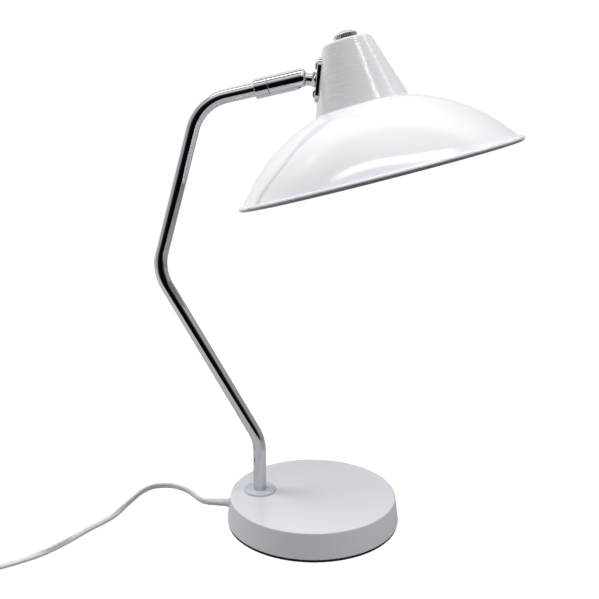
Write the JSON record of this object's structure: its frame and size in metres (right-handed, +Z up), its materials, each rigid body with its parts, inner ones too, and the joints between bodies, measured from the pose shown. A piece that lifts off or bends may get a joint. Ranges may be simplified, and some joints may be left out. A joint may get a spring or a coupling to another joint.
{
  "type": "desk lamp",
  "caption": "White desk lamp with a round weighted base, bent chrome stem, ball joint and a tilting spun dome shade with a tapered neck and rotary switch.",
  "frame": {"origin": "centre of the base's underside, on the table", "axes": "+Z up, the stem and the shade's axis lie in the XZ plane, the stem's foot towards -X and the shade towards +X"},
  "size_m": [0.5451, 0.2831, 0.4383],
  "materials": {
    "enamel": "gloss",
    "base_paint": "satin",
    "chrome": "polished",
    "iron": "matte",
    "pad": "matte",
    "steel": "satin",
    "brass": "satin",
    "ivory_plastic": "satin",
    "porcelain": "gloss",
    "cord": "satin",
    "cord_parts": "satin",
    "tie": "matte"
  },
  "bodies": {
    "stand": {"base_cover": "base_paint", "base_weight": "iron", "base_pad": "pad", "foot_flange": "base_paint", "stem_tube": "chrome", "stem_washer": "steel", "stem_nut": "brass", "stem_lead": "cord", "terminal_block": "ivory_plastic", "mains_tail": "cord", "cord_gland": "cord_parts", "cord": "cord", "cord_coil": "cord", "cord_tie": "tie", "plug": "cord_parts", "plug_pins": "steel", "arm_collar": "chrome", "pivot_bush": "brass"},
    "socket": {"ball_socket": "chrome", "seat_spring": "steel", "pressure_seat": "ivory_plastic"},
    "ball_link": {"ball_stud": "chrome", "stud_washer": "chrome", "stud_nut": "brass"},
    "head": {"head_bracket": "chrome", "bracket_screws": "chrome", "bracket_nuts": "steel", "shade": "enamel", "switch_body": "ivory_plastic", "switch_ring": "steel", "holder_sleeve": "ivory_plastic", "holder_core": "porcelain", "thread_shell": "brass", "centre_contact": "brass", "head_leads": "cord"},
    "knob": {"switch_knob": "chrome", "switch_spindle": "brass"}
  },
  "joints": [
    {"name": "socket_turn", "type": "hinge", "parent": "stand", "child": "socket", "pos_m": [-0.01124, 0, 0.39983], "axis": [0.9781, 0, 0.2079], "range_deg": [-90, 90]},
    {"name": "head_tilt", "type": "hinge", "parent": "socket", "child": "ball_link", "pos_m": [-0.01124, 0, 0.39983], "axis": [0, 1, 0], "range_deg": [-17, 25]},
    {"name": "head_spin", "type": "hinge", "parent": "ball_link", "child": "head", "pos_m": [-0.01124, 0, 0.39983], "axis": [0.9957, 0, -0.0924], "range_deg": [-90, 90]},
    {"name": "knob_turn", "type": "hinge", "parent": "head", "child": "knob", "pos_m": [0.0266, 0, 0.42991], "axis": [-0.2504, 0, 0.9681], "continuous": true}
  ]
}
